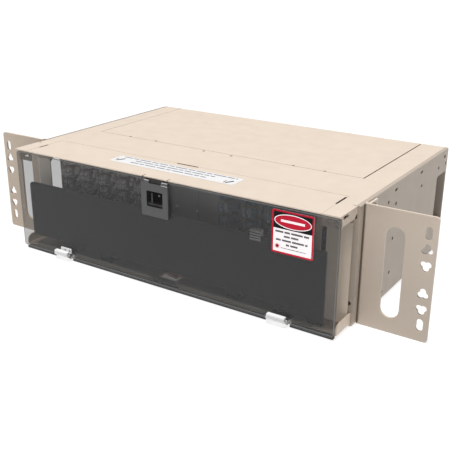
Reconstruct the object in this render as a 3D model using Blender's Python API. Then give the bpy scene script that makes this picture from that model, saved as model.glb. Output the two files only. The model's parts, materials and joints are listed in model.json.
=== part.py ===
"""Three rack unit fibre termination shelf for a 23 inch rack.

Lengths below are in millimetres. x runs across the shelf from its middle, y runs
back from the door's front face, and z runs up from the surface it stands on.
"""

import math

import bmesh
import bpy
from mathutils import Matrix, Vector
from mathutils.geometry import delaunay_2d_cdt

MM = 0.001
DOOR_PLANE = -149.0
GAP = 0.3
SHEET = 1.5

HEIGHT = 129.0
TOP_UNDER = HEIGHT - SHEET
HOUSING_X = 215.9
BODY_X = 218.3
BODY_FRONT = 36.8
BODY_BACK = 298.7
BEND = 2.5
TOP_BEND = 1.6

EAR_X = 292.1
EAR_Y = 46.3
EAR_THICK = 2.5
EAR_ROOT_X = 218.6
EAR_LEG_BACK = 74.0
EAR_LEG_TOP = 127.2
EAR_HEIGHT = 129.4
EAR_SLOT = (241.8, 261.6, 16.0, 112.0)
RACK_HOLE_X = 283.4
RACK_MID_Z = 64.7
OBROUND_RISE = 47.6
TREFOIL_RISES = (31.0, 14.5, -14.5, -31.0)
LOBE_RADIUS = 3.3
LOBE_OFFSET = 2.6
CABLE_SLOT = (51.0, 73.0, 35.0, 105.0)
EAR_SCREW_Y = 64.0
EAR_SCREW_ZS = (10.0, 24.0, 112.0, 121.0)

FRONT_COVER_X = 196.5
FRONT_COVER_BACK = 58.4
REAR_COVER_X = (-188.2, 183.4)
REAR_OPENING_X = (-188.9, 185.0)
COVER_NOTCHES = (-139.2, -97.5, 98.7, 137.9)
REAR_COVER_FRONT = 122.2
SKIRT_Y = 299.0
SKIRT_BOTTOM = 12.0

DOOR_X = 215.5
DOOR_THICK = 3.0
DOOR_Z = (4.0, 126.0)
HINGE_Y = -2.2
HINGE_Z = 7.2
HINGE_XS = (-147.8, 152.4)
CLIP_HALF = 10.4
LEAF_HALF = 11.7
PIN_RADIUS = 1.0
BORE_RADIUS = 1.3

LATCH_X = (-18.4, 17.7)
LATCH_Z = (85.2, 122.2)
LATCH_NECK_X = (-6.7, 7.9)
LATCH_WINDOW = (-10.8, 10.5, 96.6, 113.6)

GUARD_Y = (10.5, 12.7)
GUARD_X = (-209.0, 198.0)
GUARD_Z = (16.3, 85.5)
GUARD_FOOT_Z = 5.8

PLATE_PITCH = 28.8
PLATE_COUNT = 12
PLATE_Z = (7.0, 123.0)
ADAPTER_PITCH = 15.2
ADAPTER_COUNT = 6
BLANK_PLATES = (5, 6, 7)
ADAPTER_LOW_Z = 27.0

FLOOR_Z = (3.1, 4.6)
LINER_TOP = 5.5


# ---------------------------------------------------------------- outlines


def rectangle(left, right, low, high):
    return [(left, low), (right, low), (right, high), (left, high)]


def circle(across, up, radius, sides=12):
    turn = 2 * math.pi / sides
    return [
        (across + radius * math.cos(turn * (i + 0.5)), up + radius * math.sin(turn * (i + 0.5)))
        for i in range(sides)
    ]


def arc(across, up, radius, start, end, steps):
    """Points on a circle from the start angle to the end angle, in degrees."""
    angles = [math.radians(start + (end - start) * i / steps) for i in range(steps + 1)]
    return [(across + radius * math.cos(a), up + radius * math.sin(a)) for a in angles]


def rounded(left, right, low, high, radius, steps=4):
    return (
        arc(right - radius, high - radius, radius, 0, 90, steps)
        + arc(left + radius, high - radius, radius, 90, 180, steps)
        + arc(left + radius, low + radius, radius, 180, 270, steps)
        + arc(right - radius, low + radius, radius, 270, 360, steps)
    )


def obround(left, right, low, high, steps=5):
    """A slot with full round ends."""
    radius = min(right - left, high - low) / 2 - 0.01
    return rounded(left, right, low, high, radius, steps)


def trefoil(across, up, lobe_up, steps=24):
    """Three overlapping circles, with one lobe straight up or straight down."""
    first = math.pi / 2 if lobe_up else -math.pi / 2
    lobes = [first + 2 * math.pi * i / 3 for i in range(3)]
    points = []
    for i in range(steps):
        angle = 2 * math.pi * i / steps
        reach = 0.0
        for lobe in lobes:
            side = LOBE_OFFSET * math.sin(angle - lobe)
            along = LOBE_OFFSET * math.cos(angle - lobe)
            reach = max(reach, along + math.sqrt(LOBE_RADIUS**2 - side**2))
        points.append((across + reach * math.cos(angle), up + reach * math.sin(angle)))
    return points


# ---------------------------------------------------------------- solids


def placed(axis, first, second, depth):
    """A point in the part's space from two coordinates in an outline and one along its axis."""
    if axis == "x":
        x, y, z = depth, first, second
    elif axis == "y":
        x, y, z = first, depth, second
    else:
        x, y, z = first, second, depth
    return Vector((x * MM, (y + DOOR_PLANE) * MM, z * MM))


def finished(bm):
    bmesh.ops.recalc_face_normals(bm, faces=bm.faces)
    mesh = bpy.data.meshes.new("shape")
    bm.to_mesh(mesh)
    bm.free()
    return mesh


def encloses(loop, x, y):
    """Whether the point lies inside the outline."""
    inside = False
    for i, (ax, ay) in enumerate(loop):
        bx, by = loop[i - 1]
        if (ay > y) != (by > y) and x < ax + (y - ay) * (bx - ax) / (by - ay):
            inside = not inside
    return inside


def extruded(axis, low, high, outline, holes=()):
    """A straight solid whose section is the outline, less the holes."""
    loops = [outline, *holes]
    points = []
    edges = []
    for loop in loops:
        start = len(points)
        points += [Vector(p) for p in loop]
        edges += [(start + i, start + (i + 1) % len(loop)) for i in range(len(loop))]
    flat, _, faces, _, _, _ = delaunay_2d_cdt(points, edges, [], 1, 1e-5)
    bm = bmesh.new()
    near = [bm.verts.new(placed(axis, p[0], p[1], low)) for p in flat]
    far = [bm.verts.new(placed(axis, p[0], p[1], high)) for p in flat]
    border = {}
    for face in faces:
        middle = sum((flat[i] for i in face), Vector((0.0, 0.0))) / len(face)
        if any(encloses(hole, *middle) for hole in holes):
            continue
        bm.faces.new([near[i] for i in face])
        bm.faces.new([far[i] for i in reversed(face)])
        for i in range(len(face)):
            pair = (face[i], face[(i + 1) % len(face)])
            border[frozenset(pair)] = None if frozenset(pair) in border else pair
    for pair in border.values():
        if pair:
            bm.faces.new([near[pair[1]], near[pair[0]], far[pair[0]], far[pair[1]]])
    return finished(bm)


def block(left, right, front, back, low, high):
    return extruded("z", low, high, rectangle(left, right, front, back))


def turned(axis, first, second, profile, sides=16):
    """A round solid from (distance along the axis, radius) pairs."""
    bm = bmesh.new()
    rings = []
    for depth, radius in profile:
        section = circle(first, second, radius, sides)
        rings.append([bm.verts.new(placed(axis, a, b, depth)) for a, b in section])
    for one, two in zip(rings, rings[1:]):
        for i in range(sides):
            j = (i + 1) % sides
            bm.faces.new([one[i], one[j], two[j], two[i]])
    bm.faces.new(rings[0])
    bm.faces.new(list(reversed(rings[-1])))
    return finished(bm)


def together(meshes):
    """Meshes that don't meet, as one mesh for use as a tool."""
    bm = bmesh.new()
    for mesh in meshes:
        bm.from_mesh(mesh)
    return finished(bm)


def combined(mesh, tool, operation):
    base = bpy.data.objects.new("base", mesh)
    other = bpy.data.objects.new("other", tool)
    bpy.context.scene.collection.objects.link(base)
    bpy.context.scene.collection.objects.link(other)
    modifier = base.modifiers.new("Boolean", "BOOLEAN")
    modifier.solver = "EXACT"
    modifier.operation = operation
    modifier.object = other
    graph = bpy.context.evaluated_depsgraph_get()
    made = bpy.data.meshes.new_from_object(base.evaluated_get(graph))
    bpy.data.objects.remove(base)
    bpy.data.objects.remove(other)
    return made


def joined(mesh, *tools):
    return combined(mesh, together(tools), "UNION")


def cut(mesh, *tools):
    return combined(mesh, together(tools), "DIFFERENCE")


def common(mesh, tool):
    return combined(mesh, tool, "INTERSECT")


def mirrored(mesh):
    """The same shape on the other side of the middle plane."""
    copy = mesh.copy()
    copy.transform(Matrix.Scale(-1, 4, (1, 0, 0)))
    copy.flip_normals()
    return copy


def moved(mesh, across=0.0, back=0.0, up=0.0):
    copy = mesh.copy()
    copy.transform(Matrix.Translation((across * MM, back * MM, up * MM)))
    return copy


# ---------------------------------------------------------------- materials

COLOURS = {
    "beige_steel": ((0.80, 0.72, 0.60), 0.0, 0.5),
    "galvanised": ((0.55, 0.55, 0.54), 0.9, 0.4),
    "black_plastic": ((0.015, 0.015, 0.015), 0.0, 0.35),
    "dark_grey_plastic": ((0.05, 0.05, 0.055), 0.0, 0.5),
    "light_plastic": ((0.72, 0.72, 0.70), 0.0, 0.45),
    "grey_plastic": ((0.20, 0.20, 0.20), 0.0, 0.5),
    "red_plastic": ((0.20, 0.02, 0.03), 0.0, 0.5),
    "liner": ((0.03, 0.03, 0.03), 0.0, 0.9),
    "smoked_acrylic": ((0.10, 0.10, 0.10), 0.0, 0.05),
    "steel": ((0.62, 0.61, 0.58), 1.0, 0.3),
    "label_white": ((0.85, 0.85, 0.84), 0.0, 0.6),
    "label_red": ((0.65, 0.10, 0.12), 0.0, 0.6),
}


def material(name):
    found = bpy.data.materials.get(name)
    if found:
        return found
    colour, metallic, roughness = COLOURS[name]
    made = bpy.data.materials.new(name)
    made.use_nodes = True
    shader = made.node_tree.nodes["Principled BSDF"]
    shader.inputs["Base Color"].default_value = (*colour, 1.0)
    shader.inputs["Metallic"].default_value = metallic
    shader.inputs["Roughness"].default_value = roughness
    if name == "smoked_acrylic":
        shader.inputs["Alpha"].default_value = 0.45
    return made


def node(name, mesh, slot, origin=None, smooth=False):
    """One named piece. Its origin is the given point (x, y, z), or the part's own origin."""
    mesh = mesh.copy()
    mesh.name = name
    obj = bpy.data.objects.new(name, mesh)
    bpy.context.scene.collection.objects.link(obj)
    if origin:
        at = Vector((origin[0] * MM, (origin[1] + DOOR_PLANE) * MM, origin[2] * MM))
        mesh.transform(Matrix.Translation(-at))
        obj.location = at
    mesh.materials.clear()
    mesh.materials.append(material(slot))
    if smooth:
        mesh.shade_smooth()
        mesh.set_sharp_from_angle(angle=math.radians(35))
    return obj


def pair(name, mesh, slot, smooth=False):
    """The right-hand piece and its mirror image."""
    node(name + "_right", mesh, slot, smooth=smooth)
    node(name + "_left", mirrored(mesh), slot, smooth=smooth)


# ---------------------------------------------------------------- chassis


def side_wall():
    """The right wall: bends at its top, bottom and front, slots and small holes."""
    outer = BODY_X - BEND
    inner = BEND - SHEET
    section = (
        [(208.0, 0.0)]
        + arc(outer, BEND, BEND, 270, 360, 4)
        + arc(BODY_X - TOP_BEND, HEIGHT - TOP_BEND, TOP_BEND, 0, 90, 4)
        + [(214.8, HEIGHT), (214.8, TOP_UNDER), (BODY_X - SHEET, TOP_UNDER)]
        + arc(outer, BEND, inner, 0, -90, 4)
        + [(208.0, SHEET)]
    )
    wall = extruded("y", BODY_FRONT, BODY_BACK, section)
    face = rectangle(200.0, 217.4, 0.6, 127.2)
    flange = extruded("y", BODY_FRONT, BODY_FRONT + SHEET, face, [circle(213.0, 25.0, 2.4, 10)])
    wall = joined(wall, flange)
    notch = (
        [(310.0, 34.0), (310.0, 100.0)]
        + arc(268.5, 96.5, 3.5, 90, 180, 3)
        + arc(267.0, 36.0, 2.0, 180, 270, 3)
    )
    cutters = [obround(*CABLE_SLOT), notch]
    cutters += [rounded(y - 3.2, y + 3.2, 119.0, 122.0, 1.4, 3) for y in (130.0, 207.5, 288.0)]
    for y, z in (
        (211.2, 103.2),
        (110.7, 111.8),
        (132.8, 104.5),
        (293.7, 110.8),
        (268.0, 110.8),
        (131.0, 65.3),
        (129.5, 25.9),
        (112.1, 8.8),
    ):
        cutters.append(circle(y, z, 2.1, 10))
    cutters += [circle(EAR_SCREW_Y, z, 2.3, 10) for z in EAR_SCREW_ZS]
    return cut(wall, *[extruded("x", 213.0, 225.0, outline) for outline in cutters])


def ear():
    """The right ear: an L in plan, with a large slot and a column of rack holes."""
    plan = (
        [(EAR_ROOT_X, EAR_LEG_BACK)]
        + arc(EAR_ROOT_X + EAR_THICK, EAR_Y + EAR_THICK, EAR_THICK, 180, 270, 4)
        + [(EAR_X, EAR_Y), (EAR_X, EAR_Y + EAR_THICK)]
        + [(EAR_ROOT_X + EAR_THICK, EAR_Y + EAR_THICK), (EAR_ROOT_X + EAR_THICK, EAR_LEG_BACK)]
    )
    bar = extruded("z", -5.0, 140.0, plan)
    corner = 3.0
    outline = (
        [(210.0, EAR_HEIGHT), (210.0, 0.0)]
        + arc(EAR_X - corner, corner, corner, 270, 360, 3)
        + arc(EAR_X - corner, EAR_HEIGHT - corner, corner, 0, 90, 3)
    )
    bar = cut(bar, block(200.0, EAR_ROOT_X + EAR_THICK, 52.0, 100.0, EAR_LEG_TOP, 150.0))
    holes = [obround(*EAR_SLOT)]
    for side in (-1, 1):
        middle = RACK_MID_Z + side * OBROUND_RISE
        holes.append(obround(RACK_HOLE_X - 3.45, RACK_HOLE_X + 3.45, middle - 6.6, middle + 6.6, 4))
    for i, rise in enumerate(TREFOIL_RISES):
        holes.append(trefoil(RACK_HOLE_X, RACK_MID_Z + rise, i % 2 == 0))
    made = common(bar, extruded("y", 40.0, 95.0, outline, holes))
    front, back, low, high = CABLE_SLOT
    side_cuts = [obround(front, 2 * back - front, low, high)]
    side_cuts += [circle(EAR_SCREW_Y, z, 2.3, 10) for z in EAR_SCREW_ZS]
    return cut(made, *[extruded("x", 215.0, 225.0, outline) for outline in side_cuts])


def ear_screw(height):
    profile = [(214.8, 1.9), (221.4, 1.9), (221.4, 4.2), (222.8, 4.2), (223.6, 3.2)]
    return turned("x", EAR_SCREW_Y, height, profile, 12)


def top_frame():
    """The fixed top sheet round both covers, its front down-flanges and the covers' ledges."""
    side = FRONT_COVER_X + GAP
    left_rear, right_rear = REAR_OPENING_X
    front_rear = REAR_COVER_FRONT - 0.7
    outer = [
        (side, -1.2),
        (HOUSING_X, -1.2),
        (HOUSING_X, 36.2),
        (210.7, 36.2),
        (210.7, 37.4),
        (214.5, 37.4),
        (214.5, BODY_BACK),
    ]
    right = outer + [(right_rear, BODY_BACK), (right_rear, front_rear)]
    back_edge = [(left_rear, front_rear), (left_rear, BODY_BACK)]
    back_edge += [(-x, y) for x, y in reversed(outer)]
    middle = [(-side, FRONT_COVER_BACK + GAP), (side, FRONT_COVER_BACK + GAP)]
    holes = [circle(x, 117.5, 1.7, 10) for x in (-20.0, 19.0)]
    plate = extruded("z", TOP_UNDER, HEIGHT, right + back_edge + middle, holes)
    slot = obround(4.6, 16.6, 124.4, 127.2, 4)
    side_face = [
        (3.6, 117.4),
        (30.6, 117.4),
        (34.4, 121.0),
        (36.2, 121.0),
        (36.2, 128.2),
        (3.6, 128.2),
    ]
    flange = extruded("x", HOUSING_X - SHEET, HOUSING_X, side_face, [slot])
    tab_face = [
        (195.0, 114.8),
        (215.0, 114.8),
        (215.0, 128.2),
        (197.2, 128.2),
        (197.2, 127.1),
        (195.0, 127.1),
    ]
    tab = extruded("y", 3.8, 5.3, tab_face, [obround(199.0, 207.6, 119.4, 122.4, 4)])
    low = 126.0
    ledge_top = TOP_UNDER - GAP
    back_ledge = [
        (51.0, low),
        (64.0, low),
        (64.0, 128.2),
        (59.1, 128.2),
        (59.1, ledge_top),
        (51.0, ledge_top),
    ]
    front_ledge = [
        (190.0, low),
        (202.0, low),
        (202.0, 128.2),
        (197.2, 128.2),
        (197.2, ledge_top),
        (190.0, ledge_top),
    ]
    left_front = [(-x, z) for x, z in front_ledge]
    ledges = [
        extruded("x", 20.0, 188.0, back_ledge),
        extruded("x", -188.0, -20.0, back_ledge),
        extruded("y", 6.0, 28.0, front_ledge),
        extruded("y", 39.4, 49.0, left_front),
        side_ledge(1, right_rear + 0.4),
        side_ledge(-1, left_rear - 0.4),
    ]
    frame = joined(plate, flange, mirrored(flange), *ledges)
    return joined(frame, tab, mirrored(tab))


def side_ledge(side, riser):
    """The ledge under one side of the rear cover, joined to the frame beyond the riser."""
    low = 126.0
    top = TOP_UNDER - GAP
    inner = side * 178.0
    outer = side * 193.0
    section = [(inner, low), (outer, low), (outer, 128.2), (riser, 128.2), (riser, top), (inner, top)]
    return extruded("y", 125.0, 290.0, section)


def bulkhead():
    section = [
        (38.6, 3.6),
        (50.0, 3.6),
        (50.0, 5.1),
        (40.1, 5.1),
        (40.1, 125.6),
        (50.0, 125.6),
        (50.0, 127.1),
        (38.6, 127.1),
    ]
    bar = extruded("x", -178.0, 178.0, section)
    windows = []
    for x in plate_centres():
        windows.append(extruded("y", 30.0, 44.0, rectangle(x - 11.0, x + 11.0, 20.0, 110.0)))
    return cut(bar, *windows)


def plate_centres():
    return [PLATE_PITCH * (i - (PLATE_COUNT - 1) / 2) for i in range(PLATE_COUNT)]


def adapter_plate(blank):
    """One plate at x = 0 with two push fasteners and, unless it is blank, its capped adapters."""
    plate = extruded("y", BODY_FRONT, BODY_FRONT + SHEET, rectangle(-14.1, 14.1, *PLATE_Z))
    fasteners = [turned("y", 0.0, z, [(32.5, 3.0), (37.6, 3.4)], 10) for z in (13.5, 116.5)]
    if blank:
        return joined(plate, *fasteners)
    rows = [ADAPTER_LOW_Z + ADAPTER_PITCH * i for i in range(ADAPTER_COUNT)]
    bodies = [block(-6.2, 6.2, 27.5, 50.0, z - 4.7, z + 4.7) for z in rows]
    caps = [block(-3.6, 3.6, 23.5, 28.5, z - 3.2, z + 3.2) for z in rows]
    made = joined(plate, *bodies)
    return joined(made, *caps, *fasteners)


def front_floor():
    """The trough's floor with its end flanges, a rear flange, notches and a cut-out."""
    low, top = FLOOR_Z
    flange_top = 15.0
    section = [
        (-HOUSING_X, low),
        (HOUSING_X, low),
        (HOUSING_X, flange_top),
        (HOUSING_X - SHEET, flange_top),
        (HOUSING_X - SHEET, top),
        (SHEET - HOUSING_X, top),
        (SHEET - HOUSING_X, flange_top),
        (-HOUSING_X, flange_top),
    ]
    channel = extruded("y", 0.0, 40.0, section)
    side = [(36.4, 1.0), (36.4, 20.0), (13.0, 20.0)] + arc(13.0, 7.0, 8.0, 90, 180, 5) + [(5.0, 1.0)]
    made = common(channel, extruded("x", -230.0, 230.0, side))
    riser = block(-187.0, 187.0, 34.9, 36.2, 4.0, 9.5)
    lip = block(-214.0, 214.0, 5.3, 6.8, 0.4, 4.2)
    made = joined(made, riser, lip)
    cutters = [block(x - 13.0, x + 13.0, -2.0, 9.0, 0.0, 10.0) for x in HINGE_XS]
    cutters.append(block(-4.6, 23.0, -2.0, 7.8, -1.0, 10.0))
    cutters.append(extruded("z", 0.0, 10.0, cut_out(0.0)))
    return cut(made, *cutters)


def cut_out(margin):
    """The see-through opening in the trough's floor, in plan."""
    return [
        (-11.5 - margin, 15.2 - margin),
        (12.2 + margin, 15.2 - margin),
        (12.2 + margin, 31.0 + margin),
        (8.6 - margin, 31.0 + margin),
        (6.6 - margin, 23.2 + margin),
        (-6.0 - margin, 25.4 + margin),
        (-11.5 - margin, 28.4 + margin),
    ]


def floor_liner():
    front = 5.6
    outline = [(-206.0, 13.0), (-199.0, front)]
    for x in HINGE_XS:
        outline += [(x - 13.4, front), (x - 13.4, 20.6), (x + 13.4, 20.6), (x + 13.4, front)]
    notch = [(-5.0, front), (-5.0, 8.2), (23.4, 8.2), (23.4, front)]
    outline = outline[:6] + notch + outline[6:]
    outline += [(188.0, front), (188.0, 34.5), (-206.0, 34.5)]
    return extruded("z", FLOOR_Z[1] + GAP, LINER_TOP, outline, [cut_out(0.4)])


def floor_block():
    plan = [(-5.4, 26.4), (6.0, 24.4), (8.2, 32.6), (-8.6, 33.6), (-10.6, 29.6)]
    return extruded("z", LINER_TOP + GAP, 9.6, plan)


def jumper_guide():
    """The right guide: a flat sheet whose outer end curves back to the body."""
    outer = arc(206.9, 35.0, 7.0, 270, 350, 8)
    inner = arc(206.9, 35.0, 5.5, 350, 270, 8)
    return extruded("z", 5.9, 112.5, [(188.6, 28.0)] + outer + inner + [(188.6, 29.5)])


def jumper_guard():
    left, right = GUARD_X
    low, high = GUARD_Z
    outline = (
        [(left, low), (171.0, low), (182.0, GUARD_FOOT_Z), (right, GUARD_FOOT_Z), (right, high)]
        + arc(left + 5.0, high - 5.0, 5.0, 90, 180, 4)
    )
    sheet = extruded("y", *GUARD_Y, outline)
    foot = [
        (12.0, GUARD_FOOT_Z),
        (24.0, GUARD_FOOT_Z),
        (24.0, 7.3),
        (14.2, 7.3),
        (14.2, 30.0),
        (12.0, 30.0),
    ]
    feet = [extruded("x", x - 8.0, x + 8.0, foot) for x in (-90.0, 90.0)]
    return joined(sheet, *feet)


def guard_clip():
    """A clip over the guard's top edge, with three ribs on its front."""
    section = [(13.1, 81.4), (14.9, 81.4), (14.9, 92.2), (8.2, 92.2)]
    for i in range(3):
        base = 90.4 - 2.9 * i
        section += [(8.2, base), (9.3, base - 0.4), (9.3, base - 1.0), (8.2, base - 1.4)]
    section += [(8.2, 81.2), (10.1, 81.2), (10.1, 86.0), (13.1, 86.0)]
    return extruded("x", 112.8, 125.3, section)


def hinge_leaf():
    """Strap, web and two ears at x = 0, all one bent strip."""
    section = [(6.4, 1.3), (7.4, 1.3), (7.4, 4.9), (20.0, 4.9), (20.0, 5.9), (6.4, 5.9)]
    strap = extruded("x", -LEAF_HALF, LEAF_HALF, section)
    head = (
        [(6.9, 1.6), (6.9, 2.5), (HINGE_Y + 1.9, 2.5)]
        + arc(HINGE_Y, HINGE_Z, 1.9, 0, 180, 8)
        + [(HINGE_Y - 1.9, 5.4), (0.2, 1.6)]
    )
    bore = circle(HINGE_Y, HINGE_Z, BORE_RADIUS, 12)
    ears = [extruded("x", x, x + 0.9, head, [bore]) for x in (0.1 - LEAF_HALF, LEAF_HALF - 1.0)]
    holes = [extruded("z", 4.0, 7.0, circle(x, 15.0, 1.6, 10)) for x in (-7.0, 7.0)]
    return cut(joined(strap, *ears), *holes)


def hinge_pin():
    end = LEAF_HALF + 0.4
    profile = [(-end - 0.2, PIN_RADIUS), (end, PIN_RADIUS), (end, 1.7), (end + 0.9, 1.6)]
    return turned("x", HINGE_Y, HINGE_Z, profile, 12)


def splice_tray():
    """Two lidded trays with a narrower band between them."""
    outline = rounded(-62.0, 62.0, 150.0, 262.0, 8.0, 3)
    inset = rounded(-60.6, 60.6, 151.4, 260.6, 7.0, 3)
    trays = [extruded("z", 3.6, 14.0, outline), extruded("z", 16.0, 28.0, outline)]
    return joined(extruded("z", 10.0, 20.0, inset), *trays)


def spool():
    profile = [(3.6, 36.0), (5.6, 36.0), (5.6, 33.0), (24.0, 33.0), (24.0, 36.0), (26.0, 36.0)]
    return turned("z", 135.0, 205.0, profile, 24)


def cable_clamp():
    section = [
        (225.0, 3.6),
        (255.0, 3.6),
        (255.0, 5.1),
        (241.5, 5.1),
        (241.5, 45.0),
        (240.0, 45.0),
        (240.0, 5.1),
        (225.0, 5.1),
    ]
    bracket = extruded("x", 186.0, 206.0, section)
    return cut(bracket, *[extruded("y", 235.0, 245.0, circle(196.0, z, 3.0, 10)) for z in (20.0, 34.0)])


def make_chassis():
    pair("side_wall", side_wall(), "beige_steel", smooth=True)
    pair("ear", ear(), "beige_steel", smooth=True)
    for i, z in enumerate(EAR_SCREW_ZS):
        screw = ear_screw(z)
        node(f"ear_screw_right_{i + 1}", screw, "steel", smooth=True)
        node(f"ear_screw_left_{i + 1}", mirrored(screw), "steel", smooth=True)
    node("base_pan", block(-216.3, 216.3, 38.6, 296.9, 1.8, 3.3), "beige_steel")
    panel = extruded(
        "y",
        BODY_BACK - SHEET,
        BODY_BACK,
        rectangle(-216.2, 216.2, 3.6, 126.9),
        [rounded(-170.0, 170.0, 22.0, 118.0, 5.0, 3)],
    )
    ends = []
    for x in (-214.0, 214.0):
        ends.append(block(x - 4.2, x + 4.2, BODY_BACK - SHEET, BODY_BACK, 34.6, 99.4))
    node("rear_panel", joined(panel, *ends), "beige_steel")
    node("top_frame", top_frame(), "beige_steel", smooth=True)
    node("bulkhead", bulkhead(), "beige_steel")
    for i, x in enumerate(plate_centres()):
        made = moved(adapter_plate(i in BLANK_PLATES), across=x)
        if i == 0:
            made = joined(made, block(-178.0, x - 13.0, BODY_FRONT, BODY_FRONT + SHEET, *PLATE_Z))
        node(f"adapter_plate_{i + 1:02d}", made, "dark_grey_plastic")
    node("front_floor", front_floor(), "beige_steel", smooth=True)
    node("floor_liner", floor_liner(), "liner")
    node("floor_block", floor_block(), "red_plastic")
    pair("jumper_guide", jumper_guide(), "beige_steel", smooth=True)
    node("jumper_guard", jumper_guard(), "black_plastic", smooth=True)
    node("guard_clip", guard_clip(), "light_plastic")
    for name, x in zip(("left", "right"), HINGE_XS):
        node("hinge_leaf_" + name, moved(hinge_leaf(), across=x), "steel", smooth=True)
        node("hinge_pin_" + name, moved(hinge_pin(), across=x), "steel", smooth=True)
    node("splice_tray", splice_tray(), "black_plastic")
    pair("spool", spool(), "black_plastic", smooth=True)
    pair("cable_clamp", cable_clamp(), "galvanised")


# ---------------------------------------------------------------- door and latch


def hinge_clip(leaf):
    """The clip at x = 0: a groove for the door's edge and a bore, with or without a leaf."""
    outline = (
        arc(-3.0, 6.7, 2.2, 270, 180, 4)
        + arc(-3.2, 9.2, 2.0, 180, 90, 4)
        + [(-0.3, 11.2), (-0.3, 3.7), (3.3, 3.7), (3.3, 8.4)]
        + [(4.3, 8.4), (4.3, 2.8), (-1.2, 2.8), (-1.2, 4.5)]
    )
    bore = circle(HINGE_Y, HINGE_Z, BORE_RADIUS, 12)
    body = extruded("x", -CLIP_HALF, CLIP_HALF, outline, [bore])
    if not leaf:
        return body
    holes = [circle(x, 12.9, 1.2, 10) for x in (4.4, 11.8)]
    face = [(-2.6, 9.8), (14.6, 9.8), (14.6, 15.0), (13.7, 15.9), (-1.7, 15.9), (-2.6, 15.0)]
    return joined(body, extruded("y", -1.5, -0.3, face, holes))


def latch_bezel():
    """A plate with a window and two raised shoulders, hollow behind for the tongue."""
    left, right = LATCH_X
    low, high = LATCH_Z
    neck_left, neck_right = LATCH_NECK_X
    cap = high + 2.8
    face = arc(left + 1.5, low + 1.5, 1.5, 180, 270, 3) + arc(right - 1.5, low + 1.5, 1.5, 270, 360, 3)
    face += [(right, high), (right - 0.8, high), (right - 0.8, cap), (neck_right + 0.9, cap)]
    face += [(neck_right + 0.9, high), (neck_left - 0.9, high), (neck_left - 0.9, cap)]
    face += [(left + 3.9, cap), (left + 3.9, high), (left, high)]
    plate = extruded("y", -3.0, -0.3, face, [rectangle(*LATCH_WINDOW)])
    hollow = block(left + 4.2, right - 4.2, -2.0, 1.0, 88.7, 118.6)
    neck = block(neck_left - 0.4, neck_right + 0.4, -2.0, 1.0, 110.0, 130.0)
    return cut(plate, joined(hollow, neck))


def make_door():
    pivot = (0.0, HINGE_Y, HINGE_Z)
    sheet = extruded("y", 0.0, DOOR_THICK, rounded(-DOOR_X, DOOR_X, *DOOR_Z, 3.0, 4))
    node("door", sheet, "smoked_acrylic", origin=pivot)
    for name, x in zip(("left", "right"), HINGE_XS):
        node(
            "hinge_clip_" + name,
            moved(hinge_clip(name == "left"), across=x),
            "light_plastic",
            origin=(x, HINGE_Y, HINGE_Z),
            smooth=True,
        )
    node("latch_bezel", latch_bezel(), "grey_plastic", origin=pivot)
    label = extruded("y", -0.3, -0.06, rounded(143.5, 189.2, 78.5, 123.2, 1.5, 3))
    node("hazard_label", label, "label_red", origin=pivot)


def make_latch():
    seat = (0.0, -2.0, 106.0)
    left, right, low, high = LATCH_WINDOW
    pad = extruded("y", -3.4, -1.9, rounded(left + 0.4, right - 0.4, low + 4.3, high - 0.4, 1.0, 3))
    ribs = [block(left + 3.0, right - 3.0, -4.0, -3.2, z, z + 1.0) for z in (103.5, 106.5, 109.5)]
    node("latch_pad", joined(pad, *ribs), "black_plastic", origin=seat)
    neck_left, neck_right = LATCH_NECK_X
    tongue = [(-13.6, 93.0), (12.9, 93.0), (12.9, 118.0), (neck_right, 118.0), (neck_right, 126.4)]
    tongue += [(neck_right - 0.8, 127.2), (neck_left + 0.8, 127.2), (neck_left, 126.4)]
    tongue += [(neck_left, 118.0), (-13.6, 118.0)]
    node("latch_tongue", extruded("y", -1.6, -0.6, tongue), "grey_plastic", origin=seat)


# ---------------------------------------------------------------- covers


def make_front_cover():
    side = FRONT_COVER_X
    back = FRONT_COVER_BACK
    outline = [
        (-side, -1.2),
        (-17.8, -1.2),
        (-17.8, 4.6),
        (-16.4, 4.6),
        (-16.4, -0.9),
        (15.4, -0.9),
        (15.4, 4.6),
        (16.8, 4.6),
        (16.8, -1.2),
        (side, -1.2),
        (side, 31.0),
        (side - 2.2, 31.0),
        (side - 2.2, 55.0),
        (side, 55.0),
        (side, back),
        (14.6, back),
        (14.6, back - 2.2),
        (-14.6, back - 2.2),
        (-14.6, back),
        (-side, back),
        (-side, 34.0),
        (2.2 - side, 34.0),
        (2.2 - side, 19.0),
        (-side, 19.0),
    ]
    seat = (0.0, 28.0, TOP_UNDER)
    node("front_top_cover", extruded("z", TOP_UNDER, HEIGHT, outline), "beige_steel", origin=seat)
    label = extruded("z", HEIGHT + 0.06, HEIGHT + 0.26, rounded(-87.0, 82.0, 23.0, 47.0, 3.0, 3))
    node("top_label", label, "label_white", origin=seat)


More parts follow.
